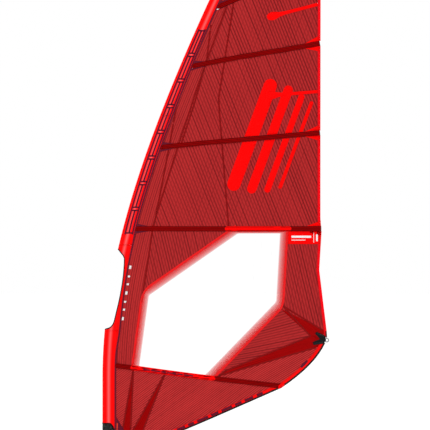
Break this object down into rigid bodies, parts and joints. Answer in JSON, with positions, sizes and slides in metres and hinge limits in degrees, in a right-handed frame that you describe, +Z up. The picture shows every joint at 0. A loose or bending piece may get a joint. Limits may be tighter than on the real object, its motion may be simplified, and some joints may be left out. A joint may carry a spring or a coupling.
{
  "type": "windsurf sail",
  "caption": "Rigged wave-riding windsurf sail with a sleeve for the mast, a clear window, full-length battens with tensioners, a clew ring and a tack pulley block.",
  "frame": {"origin": "on the mast's axis, level with the lowest point of the tack's pulley block", "axes": "+Z up the mast, +X aft towards the clew, +Y through the cloth; the belly is towards -Y"},
  "size_m": [1.7683, 0.1025, 4.2195],
  "materials": {
    "sleeve_cloth": "bright red woven polyester",
    "scrim_cloth": "red film laminated over a dark yarn scrim",
    "patch_cloth": "dark red reinforcing laminate",
    "window_film": "clear monofilm",
    "band_cloth": "bright red foot band",
    "tape_cloth": "bright red leech tape",
    "pocket_cloth": "dark red batten pocket",
    "batten_rod": "fibre rod",
    "webbing": "black polyester webbing",
    "steel": "polished stainless steel",
    "black_plastic": "moulded plastic",
    "sheave_plastic": "moulded plastic",
    "fairing_pad": "padded dark fabric"
  },
  "bodies": {
    "sail": {"luff_sleeve_lower": "sleeve_cloth", "boom_cutout_strip": "sleeve_cloth", "luff_sleeve_middle": "sleeve_cloth", "luff_sleeve_upper": "sleeve_cloth", "luff_sleeve_top": "sleeve_cloth", "window_film": "window_film", "throat_panel": "scrim_cloth", "leech_panel": "scrim_cloth", "clew_patch_upper": "patch_cloth", "clew_panel": "scrim_cloth", "clew_patch_lower": "patch_cloth", "foot_panel_aft": "scrim_cloth", "luff_panel_foot": "scrim_cloth", "tack_patch_front": "patch_cloth", "foot_panel_front": "scrim_cloth", "tack_patch_aft": "patch_cloth", "foot_panel_main": "scrim_cloth", "luff_panel_window": "scrim_cloth", "luff_panel_lower": "scrim_cloth", "body_panel_lower": "scrim_cloth", "luff_panel_middle": "scrim_cloth", "body_panel_middle": "scrim_cloth", "luff_panel_upper": "scrim_cloth", "body_panel_upper": "scrim_cloth", "head_panel": "scrim_cloth", "foot_band_tack": "band_cloth", "foot_band_clew": "band_cloth", "leech_tape_1": "tape_cloth", "leech_tape_2": "tape_cloth", "leech_tape_3": "tape_cloth", "leech_tape_4": "tape_cloth", "leech_tape_5": "tape_cloth", "batten_pocket_1": "pocket_cloth", "batten_pocket_2": "pocket_cloth", "batten_pocket_3": "pocket_cloth", "batten_pocket_4": "pocket_cloth", "batten_pocket_5": "pocket_cloth", "mini_batten_lower": "pocket_cloth", "mini_batten_upper": "pocket_cloth", "clew_webbing": "webbing", "tack_webbing": "webbing", "tack_fairing": "fairing_pad", "head_cap": "black_plastic"},
    "tack_block": {"pulley_block": "black_plastic", "sheave_pin": "steel"},
    "flap": {"tack_flap": "fairing_pad"},
    "ring": {"clew_ring": "steel"},
    "sheave_body_1": {"sheave_1": "sheave_plastic"},
    "sheave_body_2": {"sheave_2": "sheave_plastic"},
    "sheave_body_3": {"sheave_3": "sheave_plastic"},
    "rod_1": {"batten_1": "batten_rod"},
    "screw_1": {"tensioner_screw_1": "steel"},
    "rod_2": {"batten_2": "batten_rod"},
    "screw_2": {"tensioner_screw_2": "steel"},
    "rod_3": {"batten_3": "batten_rod"},
    "screw_3": {"tensioner_screw_3": "steel"},
    "rod_4": {"batten_4": "batten_rod"},
    "screw_4": {"tensioner_screw_4": "steel"},
    "rod_5": {"batten_5": "batten_rod"},
    "screw_5": {"tensioner_screw_5": "steel"}
  },
  "joints": [
    {"name": "tensioner_1_turn", "type": "hinge", "parent": "sail", "child": "screw_1", "pos_m": [1.369, -0.00987, 0.593], "axis": [0.9887, 0.0874, -0.1222], "range_deg": [0, 1440]},
    {"name": "batten_1_slide", "type": "slide", "parent": "sail", "child": "rod_1", "axis": [-0.9887, -0.0874, 0.1222], "range_m": [0, 0.008]},
    {"name": "tensioner_2_turn", "type": "hinge", "parent": "sail", "child": "screw_2", "pos_m": [1.683, 0, 1.82], "axis": [1, 0.0099, 0], "range_deg": [0, 1440]},
    {"name": "batten_2_slide", "type": "slide", "parent": "sail", "child": "rod_2", "axis": [-1, -0.0099, 0], "range_m": [0, 0.008]},
    {"name": "tensioner_3_turn", "type": "hinge", "parent": "sail", "child": "screw_3", "pos_m": [1.673, -0.00388, 2.568], "axis": [0.9959, 0.0101, 0.0901], "range_deg": [0, 1440]},
    {"name": "batten_3_slide", "type": "slide", "parent": "sail", "child": "rod_3", "axis": [-0.9959, -0.0101, -0.0901], "range_m": [0, 0.008]},
    {"name": "tensioner_4_turn", "type": "hinge", "parent": "sail", "child": "screw_4", "pos_m": [1.671, -0.01883, 3.264], "axis": [0.9846, -0.0156, 0.1743], "range_deg": [0, 1440]},
    {"name": "batten_4_slide", "type": "slide", "parent": "sail", "child": "rod_4", "axis": [-0.9846, 0.0156, -0.1743], "range_m": [0, 0.008]},
    {"name": "tensioner_5_turn", "type": "hinge", "parent": "sail", "child": "screw_5", "pos_m": [1.64, -0.03659, 3.862], "axis": [0.924, -0.0557, 0.3782], "range_deg": [0, 1440]},
    {"name": "batten_5_slide", "type": "slide", "parent": "sail", "child": "rod_5", "axis": [-0.924, 0.0557, -0.3782], "range_m": [0, 0.008]},
    {"name": "tack_block_swing", "type": "hinge", "parent": "sail", "child": "tack_block", "pos_m": [0.052, 0, 0.056], "axis": [1, 0, 0], "range_deg": [-25, 25]},
    {"name": "sheave_1_spin", "type": "hinge", "parent": "tack_block", "child": "sheave_body_1", "pos_m": [0.03833, 0, 0.017], "axis": [1, 0, 0], "continuous": true},
    {"name": "sheave_2_spin", "type": "hinge", "parent": "tack_block", "child": "sheave_body_2", "pos_m": [0.052, 0, 0.017], "axis": [1, 0, 0], "continuous": true},
    {"name": "sheave_3_spin", "type": "hinge", "parent": "tack_block", "child": "sheave_body_3", "pos_m": [0.06567, 0, 0.017], "axis": [1, 0, 0], "continuous": true},
    {"name": "clew_ring_turn", "type": "hinge", "parent": "sail", "child": "ring", "pos_m": [1.726, 0, 0.951], "axis": [0, 1, 0], "continuous": true},
    {"name": "tack_flap_swing", "type": "hinge", "parent": "sail", "child": "flap", "pos_m": [0.0035, 0.0255, 0.19], "axis": [0, 0, 1], "range_deg": [0, 110]}
  ],
  "couplings": [
    {"joint": "tensioner_1_turn", "follows": "batten_1_slide", "rad_per_m": 3141.6},
    {"joint": "tensioner_2_turn", "follows": "batten_2_slide", "rad_per_m": 3141.6},
    {"joint": "tensioner_3_turn", "follows": "batten_3_slide", "rad_per_m": 3141.6},
    {"joint": "tensioner_4_turn", "follows": "batten_4_slide", "rad_per_m": 3141.6},
    {"joint": "tensioner_5_turn", "follows": "batten_5_slide", "rad_per_m": 3141.6}
  ]
}
